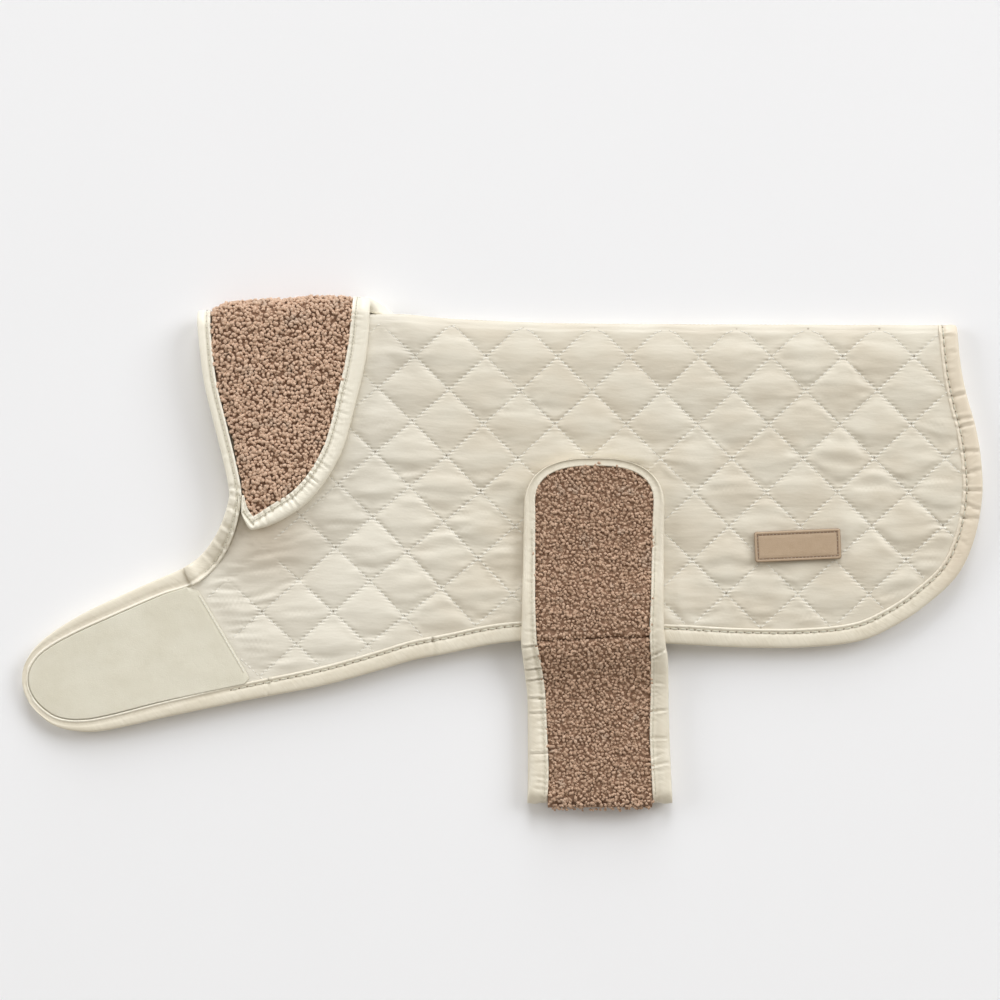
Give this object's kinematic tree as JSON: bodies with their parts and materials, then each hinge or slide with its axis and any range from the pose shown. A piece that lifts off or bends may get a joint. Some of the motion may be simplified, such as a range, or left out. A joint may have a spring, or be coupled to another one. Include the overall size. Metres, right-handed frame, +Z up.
{
  "type": "dog winter coat",
  "caption": "Quilted, fleece-lined dog coat folded in half and laid flat, with a turned-down fleece collar, a chest tongue with hook-and-loop and a belly strap folded over its side.",
  "frame": {"origin": "middle of the laid-out coat's box, on the surface that it lies on", "axes": "+X along the back from neck to tail, +Y from the belly edge to the fold of the back, +Z up, away from the surface"},
  "size_m": [0.5574, 0.2996, 0.023],
  "materials": {
    "quilted_nylon": "cream satin-faced nylon, diamond quilted over soft padding",
    "satin_binding": "cream satin bias binding, lightly puckered along its stitching",
    "teddy_fleece": "mocha curly teddy fleece",
    "hook_and_loop": "pale smooth hook-and-loop tape",
    "leatherette": "tan leatherette with a raised rim and a stitched frame, bare"
  },
  "bodies": {
    "root": {"quilted_shell": "quilted_nylon", "neck_binding": "satin_binding", "edge_binding": "satin_binding", "collar": "teddy_fleece", "collar_binding": "satin_binding", "chest_panel": "hook_and_loop", "belly_strap": "teddy_fleece", "strap_binding": "satin_binding", "label_patch": "leatherette"}
  },
  "joints": []
}
